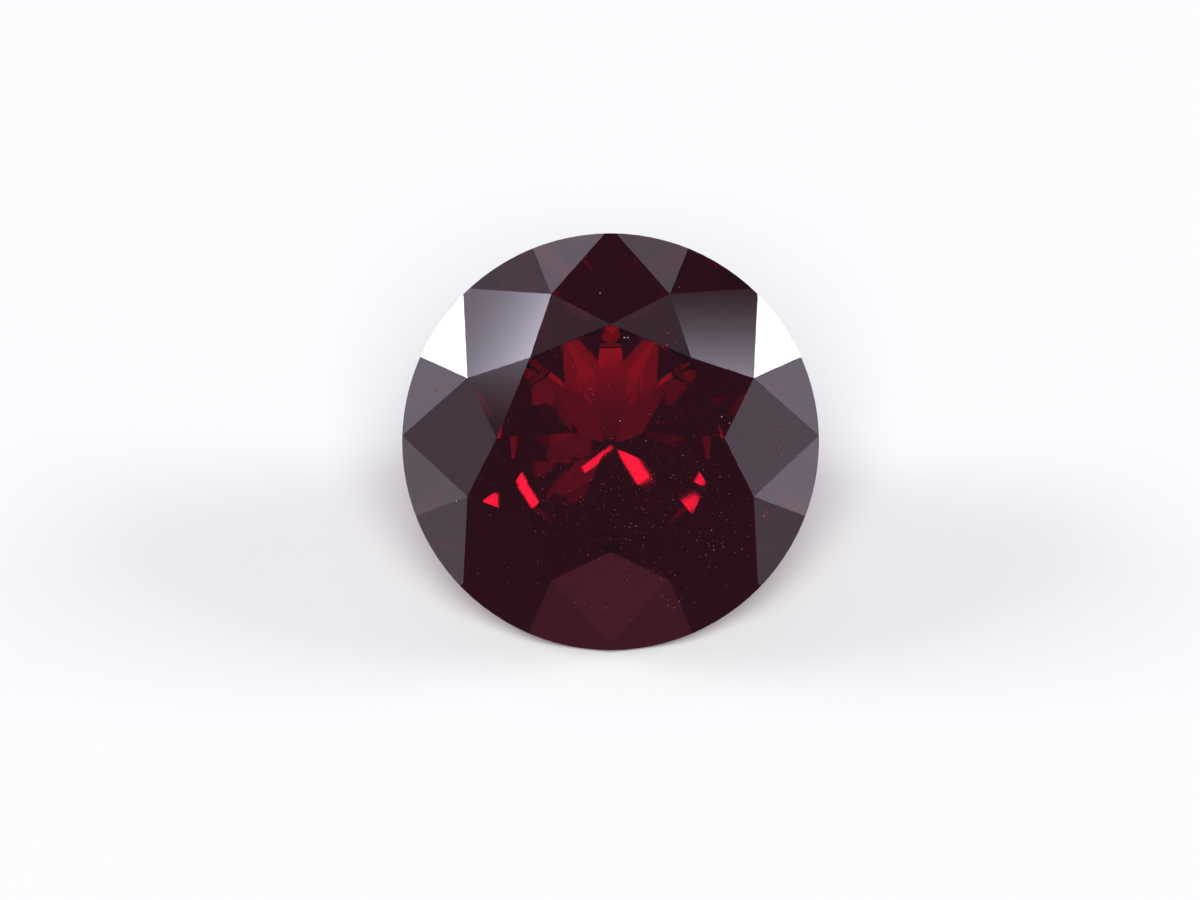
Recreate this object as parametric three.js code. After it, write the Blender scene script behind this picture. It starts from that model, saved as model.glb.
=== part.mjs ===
// A red garnet cut as a round brilliant: one stone, the space inside the planes of its facets.
// It lies loose on one main facet of its pavilion, with its table turned up and to the front.
// Millimetres, +Z up, front towards -Y. The origin is on the surface that the stone lies on,
// below the middle of its box.

import * as THREE from "three";
import { ConvexGeometry } from "three/addons/geometries/ConvexGeometry.js";

// Driving dimensions
const GIRDLE_RADIUS = 4;
const GIRDLE_THICKNESS = 0.16;
const GIRDLE_SIDES = 96;
const TABLE_RADIUS = 2.176;
const SHOULDER_RADIUS = 2.964;
const KEEL_RADIUS = 0.85;
const CROWN_ANGLE = 34.9;
const PAVILION_ANGLE = 37.2;
const FACET_LEAN = 2.3;
const OFF_CENTRE = 0.124;
const FRONT_OVERCUT = 0.04;
const FOLDS = 8;
const HAIR = 1e-5;
const GARNET_RED = 0x3a060b;

// Directions and angles worked out from the cut
const DOWN = new THREE.Vector3(0, 0, -1);
const STEP = (2 * Math.PI) / FOLDS;
const HALF_STEP = STEP / 2;
const FRONT_MAIN = Math.PI / 2;
const LEAN = THREE.MathUtils.degToRad(FACET_LEAN);
const slopeOf = (degrees) => Math.tan(THREE.MathUtils.degToRad(degrees));
const tableHeight = (GIRDLE_RADIUS - TABLE_RADIUS) * slopeOf(CROWN_ANGLE);

// Points in one half of the stone: distance from its axis, turn about it, height off the girdle
function pointsOf(half) {
  half.updateMatrix();
  return (radius, turn, height) => {
    const point = new THREE.Vector3(radius * Math.cos(turn), radius * Math.sin(turn), height);
    return point.applyMatrix4(half.matrix);
  };
}

// A facet's plane through three of its corners, facing out of the stone
function facetThrough(a, b, c) {
  const plane = new THREE.Plane().setFromCoplanarPoints(a, b, c);
  const middle = new THREE.Vector3(0, 0, -GIRDLE_THICKNESS / 2);
  return plane.distanceToPoint(middle) > 0 ? plane.negate() : plane;
}

// The eight kites of one half, and the two halves beside each that run along the girdle.
// The kites rise at the half's angle from the girdle, and meet the halves at an inner corner.
function kitesAndHalves(at, angle, innerRadius) {
  const innerHeight = (GIRDLE_RADIUS - innerRadius * Math.cos(HALF_STEP)) * slopeOf(angle);
  const kites = [];
  const halves = [];
  for (let k = 0; k < FOLDS; k++) {
    const turn = k * STEP;
    const tip = at(GIRDLE_RADIUS, turn, 0);
    const sides = [-HALF_STEP, HALF_STEP].map((side) => ({
      corner: at(innerRadius, turn + side, innerHeight),
      middle: at(GIRDLE_RADIUS, turn + side, 0),
    }));
    kites.push(facetThrough(tip, sides[0].corner, sides[1].corner));
    halves.push(...sides.map(({ corner, middle }) => facetThrough(tip, middle, corner)));
  }
  return { kites, halves, innerHeight };
}

// The crown sits a little behind the girdle's centre and leans to the front, as hand cutting leaves it
function crownFacets() {
  const crown = new THREE.Object3D();
  crown.position.set(0, OFF_CENTRE, 0);
  crown.rotation.x = LEAN;
  const at = pointsOf(crown);
  const { kites, halves, innerHeight } = kitesAndHalves(at, CROWN_ANGLE, SHOULDER_RADIUS);
  const tableCorner = (k) => at(TABLE_RADIUS, k * STEP, tableHeight);
  const stars = [];
  for (let k = 0; k < FOLDS; k++) {
    const shoulder = at(SHOULDER_RADIUS, k * STEP + HALF_STEP, innerHeight);
    stars.push(facetThrough(tableCorner(k), tableCorner(k + 1), shoulder));
  }
  const table = facetThrough(tableCorner(0), tableCorner(1), tableCorner(2));
  return [table, ...kites, ...stars, ...halves];
}

// The pavilion hangs upside down below the girdle, leaning with the crown but as far before the centre,
// and runs to a point. Its front main is ground a little deeper than the rest, and so is wider.
function pavilionFacets() {
  const pavilion = new THREE.Object3D();
  pavilion.position.set(0, -OFF_CENTRE, -GIRDLE_THICKNESS);
  pavilion.rotation.x = Math.PI + LEAN;
  const at = pointsOf(pavilion);
  const { kites, halves } = kitesAndHalves(at, PAVILION_ANGLE, KEEL_RADIUS);
  const restMain = kites[Math.round(FRONT_MAIN / STEP)];
  restMain.constant += FRONT_OVERCUT;
  return { restMain, facets: [...kites, ...halves] };
}

// The girdle, a round band ground in narrow flats
function girdleFlats() {
  const apothem = GIRDLE_RADIUS * Math.cos(Math.PI / GIRDLE_SIDES);
  return Array.from({ length: GIRDLE_SIDES }, (_, k) => {
    const turn = ((k + 0.5) * 2 * Math.PI) / GIRDLE_SIDES;
    return new THREE.Plane(new THREE.Vector3(Math.cos(turn), Math.sin(turn), 0), -apothem);
  });
}

// The point where three planes meet, or null where they hardly do
function meetingPoint(a, b, c) {
  const bc = new THREE.Vector3().crossVectors(b.normal, c.normal);
  const ca = new THREE.Vector3().crossVectors(c.normal, a.normal);
  const ab = new THREE.Vector3().crossVectors(a.normal, b.normal);
  const spread = a.normal.dot(bc);
  if (Math.abs(spread) < HAIR) {
    return null;
  }
  const sum = bc.multiplyScalar(a.constant).addScaledVector(ca, b.constant).addScaledVector(ab, c.constant);
  return sum.divideScalar(-spread);
}

// The corners of the stone: where three facets meet, and no other facet takes the place away
function cornersOf(planes) {
  const corners = [];
  for (let i = 0; i < planes.length; i++) {
    for (let j = i + 1; j < planes.length; j++) {
      for (let k = j + 1; k < planes.length; k++) {
        const point = meetingPoint(planes[i], planes[j], planes[k]);
        const inside = point && planes.every((plane) => plane.distanceToPoint(point) < HAIR);
        if (inside && corners.every((corner) => corner.distanceTo(point) > HAIR)) {
          corners.push(point);
        }
      }
    }
  }
  return corners;
}

const pavilion = pavilionFacets();
const corners = cornersOf([...crownFacets(), ...girdleFlats(), ...pavilion.facets]);
const garnet = new THREE.Mesh(
  new ConvexGeometry(corners),
  new THREE.MeshStandardMaterial({ color: GARNET_RED, roughness: 0.05, metalness: 0 }),
);
garnet.name = "garnet";

// Laid on its front main facet, with that facet flat on the surface
garnet.quaternion.setFromUnitVectors(pavilion.restMain.normal, DOWN);
const laid = new THREE.Box3().setFromObject(garnet, true);
const middle = laid.getCenter(new THREE.Vector3());
garnet.position.set(-middle.x, -middle.y, -laid.min.z);

const part = new THREE.Group();
part.add(garnet);

export default part;
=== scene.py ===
import random
from math import cos, pi, radians, sin, sqrt, tan

import bpy
from mathutils import Matrix, Vector


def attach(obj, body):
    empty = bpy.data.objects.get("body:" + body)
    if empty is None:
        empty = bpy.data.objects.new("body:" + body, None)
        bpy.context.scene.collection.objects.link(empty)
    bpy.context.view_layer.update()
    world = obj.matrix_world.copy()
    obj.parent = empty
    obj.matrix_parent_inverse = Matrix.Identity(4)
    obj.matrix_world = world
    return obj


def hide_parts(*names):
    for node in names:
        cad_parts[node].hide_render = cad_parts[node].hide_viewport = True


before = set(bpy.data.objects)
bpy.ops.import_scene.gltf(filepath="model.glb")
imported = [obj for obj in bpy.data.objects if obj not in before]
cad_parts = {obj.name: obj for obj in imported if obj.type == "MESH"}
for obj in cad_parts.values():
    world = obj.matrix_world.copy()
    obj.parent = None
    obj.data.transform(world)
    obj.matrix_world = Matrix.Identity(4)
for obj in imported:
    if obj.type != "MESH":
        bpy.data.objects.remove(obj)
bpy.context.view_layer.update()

# The cut stone: one clear dark red garnet, sawn, ground and polished as a round brilliant.
# Its facets are flat and bright, with the faint drag lines of the polishing lap, and its girdle
# is left ground and slightly frosted.
MM = 0.001
SAME_PLACE = 0.0005 * MM
SAME_FACET = radians(0.05)
GARNET_IOR = 1.76
GIRDLE_LEAN = radians(34.9)
GIRDLE_CENTRE = Vector((0, 0, 2.511 * MM))

across = Vector((1, 0, 0))
upward = Vector((0, cos(GIRDLE_LEAN), sin(GIRDLE_LEAN)))
towards = Vector((0, -sin(GIRDLE_LEAN), cos(GIRDLE_LEAN)))

bpy.ops.object.select_all(action="DESELECT")
bpy.context.view_layer.objects.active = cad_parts["garnet"]
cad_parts["garnet"].select_set(True)
bpy.ops.object.duplicate()
stone = bpy.context.view_layer.objects.active
stone.name = "cut_stone"
bpy.ops.object.mode_set(mode="EDIT")
bpy.ops.mesh.select_all(action="SELECT")
bpy.ops.mesh.customdata_custom_splitnormals_clear()
bpy.ops.mesh.remove_doubles(threshold=SAME_PLACE)
bpy.ops.mesh.dissolve_limited(angle_limit=SAME_FACET)
bpy.ops.mesh.normals_make_consistent(inside=False)
bpy.ops.object.mode_set(mode="OBJECT")
bpy.ops.object.shade_flat()

garnet = bpy.data.materials.new("garnet_crystal")
garnet.use_nodes = True
nodes = garnet.node_tree.nodes
links = garnet.node_tree.links
crystal = nodes["Principled BSDF"]
crystal.inputs["Base Color"].default_value = (1, 1, 1, 1)
crystal.inputs["IOR"].default_value = GARNET_IOR
crystal.inputs["Transmission Weight"].default_value = 1
depth = nodes.new("ShaderNodeVolumeAbsorption")
depth.inputs["Color"].default_value = (0.854, 0.0, 0.25, 1)
depth.inputs["Density"].default_value = 600
links.new(depth.outputs["Volume"], nodes["Material Output"].inputs["Volume"])

place = nodes.new("ShaderNodeTexCoord")
slope = nodes.new("ShaderNodeVectorMath")
slope.operation = "DOT_PRODUCT"
slope.inputs[1].default_value = towards
links.new(place.outputs["Normal"], slope.inputs[0])
band = nodes.new("ShaderNodeMath")
band.operation = "COMPARE"
band.inputs[1].default_value = 0
band.inputs[2].default_value = 0.05
links.new(slope.outputs["Value"], band.inputs[0])
haze = nodes.new("ShaderNodeTexNoise")
haze.inputs["Scale"].default_value = 900
haze.inputs["Detail"].default_value = 3
links.new(place.outputs["Object"], haze.inputs["Vector"])
polish = nodes.new("ShaderNodeMapRange")
polish.inputs["From Min"].default_value = 0.4
polish.inputs["From Max"].default_value = 0.75
polish.inputs["To Min"].default_value = 0.0
polish.inputs["To Max"].default_value = 0.02
links.new(haze.outputs["Fac"], polish.inputs["Value"])
finish = nodes.new("ShaderNodeMix")
finish.inputs["B"].default_value = 0.3
links.new(band.outputs["Value"], finish.inputs["Factor"])
links.new(polish.outputs["Result"], finish.inputs["A"])
links.new(finish.outputs["Result"], crystal.inputs["Roughness"])
drag = nodes.new("ShaderNodeTexNoise")
drag.inputs["Scale"].default_value = 60000
stretch = nodes.new("ShaderNodeMapping")
stretch.inputs["Scale"].default_value = (1, 0.03, 0.03)
links.new(place.outputs["Object"], stretch.inputs["Vector"])
links.new(stretch.outputs["Vector"], drag.inputs["Vector"])
lines = nodes.new("ShaderNodeBump")
lines.inputs["Strength"].default_value = 0.006
lines.inputs["Distance"].default_value = 0.0005 * MM
links.new(drag.outputs["Fac"], lines.inputs["Height"])
links.new(lines.outputs["Normal"], crystal.inputs["Normal"])
stone.data.materials.clear()
stone.data.materials.append(garnet)
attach(stone, "root")
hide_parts("garnet")

# Grains in the surface: rust-red specks of another mineral that the cutting laid open, thickest to the
# lower right of the table, with a few small clusters. Each is a rough lump sunk in its facet, and all
# are joined in one mesh.
PICTURE_HEIGHT = 10 * MM
OUTER_LIMIT = 3.6 * MM
FINE_GRAINS = 420
FINE_MIDDLE = (0.8 * MM, -1.3 * MM)
FINE_SPREAD = (1.3 * MM, 1.0 * MM)
SPREAD_SHARE = 0.3
CLUSTERS = [(3.08, 0.3), (3.3, -0.15), (1.08, 1.92), (1.2, -3.1), (1.9, -2.1), (2.95, -1.4), (-3.2, 0.9)]
CLUSTER_GRAINS = 6
CLUSTER_SPREAD = 0.09 * MM
FINE_RADII = (0.005 * MM, 0.011 * MM)
FINE_LENGTHS = (1, 1.6)
CLUSTER_RADII = (0.009 * MM, 0.02 * MM)
CLUSTER_LENGTHS = (1, 2)
GRAIN_FLATNESS = 0.7
GRAIN_ROUGHNESS = 0.002 * MM
GRAIN_SEED = 11
ROUGH_SEED = 3
draw = random.Random(GRAIN_SEED)


def on_facet(right, up):
    start = GIRDLE_CENTRE + across * right + upward * up + towards * PICTURE_HEIGHT
    return stone.ray_cast(start, -towards)[1]


def lay_grains(name, grains, roughness):
    places = [on_facet(right, up) for right, up, _, _ in grains]
    bpy.ops.object.select_all(action="DESELECT")
    lumps = bpy.data.objects.new(name, bpy.data.meshes.new(name))
    bpy.context.scene.collection.objects.link(lumps)
    bpy.context.view_layer.objects.active = lumps
    bpy.ops.object.mode_set(mode="EDIT")
    for place, (_, _, radius, length) in zip(places, grains):
        turn = (draw.uniform(0, pi), draw.uniform(0, pi), draw.uniform(0, pi))
        bpy.ops.mesh.primitive_ico_sphere_add(
            subdivisions=1, radius=radius, location=place, rotation=turn,
            scale=(length, 1, GRAIN_FLATNESS),
        )
    bpy.ops.mesh.select_all(action="SELECT")
    bpy.ops.transform.vertex_random(offset=roughness, seed=ROUGH_SEED)
    bpy.ops.mesh.normals_make_consistent(inside=False)
    bpy.ops.object.mode_set(mode="OBJECT")
    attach(lumps, "root")
    return lumps


def speckled(name, dark, light):
    material = bpy.data.materials.new(name)
    material.use_nodes = True
    nodes = material.node_tree.nodes
    links = material.node_tree.links
    place = nodes.new("ShaderNodeTexCoord")
    mottle = nodes.new("ShaderNodeTexNoise")
    mottle.inputs["Scale"].default_value = 9000
    links.new(place.outputs["Object"], mottle.inputs["Vector"])
    tone = nodes.new("ShaderNodeValToRGB")
    tone.color_ramp.elements[0].position = 0.35
    tone.color_ramp.elements[0].color = dark
    tone.color_ramp.elements[1].position = 0.7
    tone.color_ramp.elements[1].color = light
    links.new(mottle.outputs["Fac"], tone.inputs["Fac"])
    links.new(tone.outputs["Color"], nodes["Principled BSDF"].inputs["Base Color"])
    nodes["Principled BSDF"].inputs["Roughness"].default_value = 0.85
    return material


fine = []
while len(fine) < FINE_GRAINS:
    right = draw.gauss(FINE_MIDDLE[0], FINE_SPREAD[0])
    up = draw.gauss(FINE_MIDDLE[1], FINE_SPREAD[1])
    if draw.random() < SPREAD_SHARE:
        right = draw.uniform(-OUTER_LIMIT, OUTER_LIMIT)
        up = draw.uniform(-OUTER_LIMIT, OUTER_LIMIT)
    if right * right + up * up < OUTER_LIMIT * OUTER_LIMIT:
        fine.append((right, up, draw.uniform(*FINE_RADII), draw.uniform(*FINE_LENGTHS)))
for middle in CLUSTERS:
    for _ in range(CLUSTER_GRAINS):
        right = middle[0] * MM + draw.gauss(0, CLUSTER_SPREAD)
        up = middle[1] * MM + draw.gauss(0, CLUSTER_SPREAD)
        fine.append((right, up, draw.uniform(*CLUSTER_RADII), draw.uniform(*CLUSTER_LENGTHS)))
grains = lay_grains("rust_grains", fine, GRAIN_ROUGHNESS)
grains.data.materials.append(speckled("rust_red_mineral", (0.18, 0.02, 0.03, 1), (0.5, 0.13, 0.1, 1)))

# Dust: a few pale bits of polishing powder and lint that lie on the crown. Each is a rough lump, drawn
# out long for the lint, and all are joined in one mesh.
DUST = [(-0.2, 2.84), (0.18, 0.4), (2.12, 0.48), (2.27, 0.36), (2.35, 1.74), (0.26, 1.99), (0.33, 1.99)]
LINT = [(-2.95, -1.13), (3.1, 1.4)]
DUST_RADIUS = 0.012 * MM
DUST_LENGTHS = (1, 1.5)
LINT_RADIUS = 0.008 * MM
LINT_LENGTH = 6
DUST_ROUGHNESS = 0.003 * MM

bits = [(right * MM, up * MM, DUST_RADIUS, draw.uniform(*DUST_LENGTHS)) for right, up in DUST]
bits += [(right * MM, up * MM, LINT_RADIUS, LINT_LENGTH) for right, up in LINT]
dust = lay_grains("dust", bits, DUST_ROUGHNESS)
dust.data.materials.append(speckled("pale_dust", (0.45, 0.38, 0.36, 1), (0.8, 0.76, 0.74, 1)))

# The floor: a wide pale sheet of smooth card that the stone lies on. It is one flat plane, a hair below
# the facet that the stone rests on.
FLOOR_SIZE = 1.2
FLOOR_GAP = 0.01 * MM

bpy.ops.object.select_all(action="DESELECT")
bpy.ops.mesh.primitive_plane_add(size=FLOOR_SIZE, location=(0, 0, -FLOOR_GAP))
floor = bpy.context.object
floor.name = "floor"
card = bpy.data.materials.new("pale_card")
card.use_nodes = True
card.node_tree.nodes["Principled BSDF"].inputs["Base Color"].default_value = (0.86, 0.86, 0.86, 1)
card.node_tree.nodes["Principled BSDF"].inputs["Roughness"].default_value = 0.9
floor.data.materials.append(card)

# The camera looks square onto the girdle, which leans back as the stone lies on its front main facet. It
# has a long lens, stands well back, and aims a little to the left of and below the girdle's middle.
CAMERA_DISTANCE = 0.25
FRAME_WIDTH = 23.03 * MM
SENSOR_WIDTH = 36
AIM_OFFSET = (-0.203 * MM, -0.155 * MM)

aim = GIRDLE_CENTRE + across * AIM_OFFSET[0] + upward * AIM_OFFSET[1]
lens = bpy.data.cameras.new("camera")
lens.sensor_width = SENSOR_WIDTH
lens.lens = SENSOR_WIDTH * CAMERA_DISTANCE / FRAME_WIDTH
camera = bpy.data.objects.new("camera", lens)
bpy.context.scene.collection.objects.link(camera)
turn = Matrix((across, upward, towards)).transposed()
camera.matrix_world = Matrix.Translation(aim + towards * CAMERA_DISTANCE) @ turn.to_4x4()
bpy.context.scene.camera = camera

# The room's light: soft cards round the stone, which its facets mirror, in an otherwise dim room. Each has
# its turn about the line of sight, its height off the girdle's plane and its width and height in degrees,
# as seen from the middle of the girdle, and then its radiance.
WHITE = (1, 1, 1)
COOL = (1, 0.95, 1.16)
AMBER = (1, 0.82, 0.62)
CARD_DISTANCE = 0.4
CARDS = [
    ("right_card", 357, 7, 38, 14, 1.47, COOL),
    ("right_upper_card", 357, 20.5, 23, 11, 0.72, COOL),
    ("left_card", 176, 7, 29, 14, 1.5, COOL),
    ("left_low_card", 197, 7, 13, 14, 1, COOL),
    ("left_upper_card", 183, 20.5, 23, 11, 0.44, COOL),
    ("left_front_card", 216, 6, 20, 12, 0.63, COOL),
    ("right_front_card", 324, 6, 20, 12, 0.44, COOL),
    ("back_left_card", 102, 12.5, 21, 13, 1.26, COOL),
    ("back_right_card", 78, 12.5, 21, 13, 0.72, COOL),
    ("back_corner_card", 124.5, 9.5, 19, 9, 0.52, COOL),
    ("high_back_left_card", 115, 49.5, 8, 10, 0.2, COOL),
    ("high_back_right_card", 65, 49.5, 8, 10, 0.23, COOL),
    ("front_edge_card", 270, 22, 12, 6, 0.38, AMBER),
    ("front_right_edge_card", 315, 24.5, 8, 5, 0.25, AMBER),
    ("front_left_edge_card", 225, 24.5, 8, 5, 0.15, AMBER),
    ("front_sky", 270, 66.5, 27, 6.5, 0.32, AMBER),
]


def place_light(name, spot, rise, outward, width, height, radiance, tint):
    light = bpy.data.lights.new(name, "AREA")
    light.shape = "RECTANGLE"
    light.size = width
    light.size_y = height
    light.color = tint
    light.energy = radiance * pi * width * height
    panel = bpy.data.objects.new(name, light)
    bpy.context.scene.collection.objects.link(panel)
    rise = rise.normalized()
    stand = Matrix((rise.cross(outward), rise, outward)).transposed()
    panel.matrix_world = Matrix.Translation(spot) @ stand.to_4x4()
    panel.visible_camera = False
    return panel


def place_card(name, azimuth, elevation, wide, high, radiance, tint):
    turn = radians(azimuth)
    lift = radians(elevation)
    level = across * cos(turn) + upward * sin(turn)
    outward = level * cos(lift) + towards * sin(lift)
    rise = towards * cos(lift) - level * sin(lift)
    width = 2 * CARD_DISTANCE * tan(radians(wide / 2))
    height = 2 * CARD_DISTANCE * tan(radians(high / 2))
    spot = GIRDLE_CENTRE + outward * CARD_DISTANCE
    return place_light(name, spot, rise, outward, width, height, radiance, tint)


for card_row in CARDS:
    place_card(*card_row)

# Two bright lamps, which the stone shows only as white glints on its facets, and two dim rosy cards in
# front, which only the front kite and the facets beside it mirror.
ROSE = (1, 0.21, 0.26)
GLINTS = [
    ("left_lamp", 151, 12.5, 16, 17, 15, WHITE),
    ("right_lamp", 26, 12, 17, 17, 15, WHITE),
    ("front_card", 270, 15.5, 13, 7, 0.4, ROSE),
    ("front_low_card", 270, 3.8, 35, 10, 0.26, ROSE),
]

for glint_row in GLINTS:
    glint = place_card(*glint_row)
    glint.visible_transmission = False

# The small lamps close to the stone, for the sheen on three facets and for the flashes and glow inside.
# Each is given by where the picture shows it, in millimetres right and up from the girdle's middle, and
# stands where the line of sight leads from there: mirrored off the facet, or out through the stone.
LAMP_DISTANCE = 0.062
LOOK_STEP = 0.01 * MM
HAIR = 0.0001 * MM
MOST_TURNS = 12


def bend(heading, normal, ratio):
    slope = -heading.dot(normal)
    remainder = 1 - ratio * ratio * (1 - slope * slope)
    if remainder < 0:
        return None
    return heading * ratio + normal * (ratio * slope - sqrt(remainder))


def line_of_sight(right, up, through):
    eye = camera.matrix_world.translation
    heading = (GIRDLE_CENTRE + across * right + upward * up - eye).normalized()
    point, normal = stone.ray_cast(eye, heading)[1:3]
    if not through:
        return point, heading.reflect(normal)
    heading = bend(heading, normal, 1 / GARNET_IOR)
    for _ in range(MOST_TURNS):
        point, normal = stone.ray_cast(point + heading * HAIR, heading)[1:3]
        outward = bend(heading, -normal, GARNET_IOR)
        if outward is not None:
            return point, outward
        heading = heading.reflect(normal)


def fade_light(light, dimmest):
    light.use_nodes = True
    nodes = light.node_tree.nodes
    links = light.node_tree.links
    place = nodes.new("ShaderNodeNewGeometry")
    rows = nodes.new("ShaderNodeSeparateXYZ")
    links.new(place.outputs["Parametric"], rows.inputs["Vector"])
    curve = nodes.new("ShaderNodeMath")
    curve.operation = "POWER"
    curve.inputs[1].default_value = 2
    links.new(rows.outputs["Y"], curve.inputs[0])
    fade = nodes.new("ShaderNodeMapRange")
    fade.inputs["To Min"].default_value = dimmest
    fade.inputs["To Max"].default_value = 1
    links.new(curve.outputs["Value"], fade.inputs["Value"])
    links.new(fade.outputs["Result"], nodes["Emission"].inputs["Strength"])


def place_lamp(name, right, up, slant, wide, high, dim, bright, tint, through):
    point, outward = line_of_sight(right * MM, up * MM, through)
    spot = point + outward * LAMP_DISTANCE
    reaches = []
    for turn in (radians(slant), radians(slant + 90)):
        beside = right * MM + cos(turn) * LOOK_STEP
        above = up * MM + sin(turn) * LOOK_STEP
        near_point, near_outward = line_of_sight(beside, above, through)
        distance = (spot - near_point).dot(outward) / near_outward.dot(outward)
        reaches.append((near_point + near_outward * distance - spot) / LOOK_STEP)
    side, rise = reaches
    rise -= side * (rise.dot(side) / side.dot(side))
    width = wide * MM * side.length
    height = high * MM * rise.length
    lamp = place_light(name, spot, rise, outward, width, height, bright, tint)
    if dim < bright:
        fade_light(lamp.data, dim / bright)


# The sheen on three facets: a wide lamp for each, which the facet mirrors. Each row has a place, a slant,
# a width and a height, then the radiance of the dim and of the bright side, across from the slant.
SHEEN = [
    ("left_kite_sheen", -2.03, 2.15, 240, 2.3, 2.1, 1.6, 7.8),
    ("right_kite_sheen", 2.1, 2.1, 180, 3, 2.3, 0.1, 3.6),
    ("left_star_sheen", -2.06, 0.94, -10, 1.5, 1.9, 0.1, 1.5),
]

for sheen_row in SHEEN:
    place_lamp(*sheen_row, COOL, False)

# The flashes inside: the two arms at the stone's point, and the pairs low on either side of it. Each row
# has a place, a slant in degrees, a width and a height as the picture shows them, and an even radiance.
FLASHES = [
    ("point_right", 0.44, -0.43, -58, 0.76, 0.28, 2.8),
    ("point_left", -0.3, -0.34, 37, 0.6, 0.06, 2.4),
    ("point_top", -0.09, -0.18, 37, 0.3, 0.06, 2.2),
    ("low_left", -1.59, -0.98, -57, 0.6, 0.18, 2.7),
    ("low_left_upper", -1.72, -0.73, -57, 0.5, 0.18, 2.6),
    ("low_left_outer", -2.3, -1.13, 0, 0.28, 0.3, 2.6),
    ("low_left_outer_top", -2.31, -1.06, 0, 0.25, 0.15, 2.4),
    ("low_right", 1.73, -0.73, 62, 0.35, 0.18, 2.4),
    ("low_right_below", 1.52, -1.19, 25, 0.4, 0.26, 2.4),
]

for *flash_row, radiance in FLASHES:
    place_lamp(*flash_row, radiance, radiance, COOL, True)

# The fan of spikes below the back of the table: its middle, brightest at the top, its tip, and its two
# sides, where each place is given once with the radiance of the left and of the right side. The left
# side alone has two places more.
FAN_MIDDLE = ("fan_middle", 0.02, 0.86, 0, 0.9, 1.7, 0.1, 0.48)
FAN_TIP = ("fan_tip", 0.05, 2.13, 0, 0.3, 0.2, 0.45, 0.45)
FAN_SIDES = [
    ("fan_body", 0.64, 0.48, 0, 1, 1.2, 0.17, 0.16),
    ("fan_gap", 0.62, 0.88, -38, 0.8, 0.16, 0.2, 0.2),
    ("fan_gap_inner", 0.38, 0.86, -60, 0.4, 0.14, 0.2, 0.2),
    ("spike_gap", 0.53, 1.08, -75, 0.5, 0.12, 0.2, 0.2),
    ("spike_middle", 0.1, 1.7, 60, 0.5, 0.25, 0.22, 0.22),
    ("spike_tip", 0.07, 2, 0, 0.2, 0.2, 0.75, 0.65),
    ("spike", 0.52, 1.7, -50, 0.9, 0.2, 0.33, 0.31),
    ("spike_fill", 0.66, 1.65, -50, 1, 0.5, 0.13, 0.13),
    ("spike_outer", 0.74, 1.5, 0, 0.32, 1.2, 0.29, 0.28),
    ("wing_inner", 1.06, 1.05, 0, 0.3, 0.7, 0.15, 0.12),
    ("wing_upper", 1.05, 1.2, 0, 0.2, 0.5, 0.15, 0.15),
    ("wing", 1.25, 1, 0, 0.5, 0.6, 0.19, 0.12),
    ("wing_tip", 1.5, 1.29, 0, 0.3, 0.3, 0.45, 0.38),
    ("wing_neck", 1.34, 1.19, 43, 0.5, 0.14, 0.22, 0.2),
    ("wing_edge", 1.39, 1.42, 0, 0.3, 0.2, 0.4, 0.4),
]
FAN_LEFT = [
    ("fan_body_outer_left", -0.88, 0.48, 0, 0.3, 0.8, 0.13),
    ("wing_outer_left", -1.35, 0.84, 0, 0.3, 0.4, 0.2),
]

place_lamp(*FAN_MIDDLE, AMBER, True)
place_lamp(*FAN_TIP, AMBER, True)
for name, off, up, slant, wide, high, left, right in FAN_SIDES:
    place_lamp(name + "_left", -off, up, slant, wide, high, left, left, AMBER, True)
    place_lamp(name + "_right", off, up, -slant, wide, high, right, right, AMBER, True)
for *fan_row, radiance in FAN_LEFT:
    place_lamp(*fan_row, radiance, radiance, AMBER, True)

# The dim red haze to the left of the stone's point, made of weak lamps whose patches overlap. Its rows
# are laid out as those of the flashes are.
HAZE = [
    ("haze_upper", -0.76, -0.1, 0, 0.8, 0.5, 0.15),
    ("haze_left", -0.97, -0.31, 0, 0.5, 0.5, 0.14),
    ("haze_outer", -1.26, -0.48, 0, 0.4, 0.4, 0.13),
    ("haze_low", -1.03, -0.79, 0, 0.4, 0.6, 0.12),
    ("haze_middle", -0.68, -0.69, 0, 1, 0.9, 0.17),
    ("haze_below", -0.61, -0.96, 0, 0.4, 0.4, 0.1),
]

for *haze_row, radiance in HAZE:
    place_lamp(*haze_row, radiance, radiance, COOL, True)

# A wide light overhead whitens the floor. The stone shows neither of them, because a pale floor would
# fill its inside with light. The room beyond is dim, and light may turn often inside the stone.
WARM = (1, 0.985, 0.96)
OVERHEAD_SIZE = 0.6
OVERHEAD_RADIANCE = 2.95
OVERHEAD_SPOT = Vector((0, -0.2, 0.56))
LIGHT_TURNS = 24

to_overhead = OVERHEAD_SPOT.normalized()
overhead = place_light(
    "overhead", OVERHEAD_SPOT, to_overhead.cross(across), to_overhead,
    OVERHEAD_SIZE, OVERHEAD_SIZE, OVERHEAD_RADIANCE, WARM,
)
overhead.visible_glossy = False
overhead.visible_transmission = False
floor.visible_glossy = False
floor.visible_transmission = False

world = bpy.data.worlds.new("dim_room")
bpy.context.scene.world = world
world.use_nodes = True
world.node_tree.nodes["Background"].inputs["Color"].default_value = (0.05, 0.065, 0.11, 1)
bpy.context.scene.cycles.max_bounces = LIGHT_TURNS
bpy.context.scene.cycles.glossy_bounces = LIGHT_TURNS
bpy.context.scene.cycles.transmission_bounces = LIGHT_TURNS
bpy.context.scene.view_settings.view_transform = "Standard"
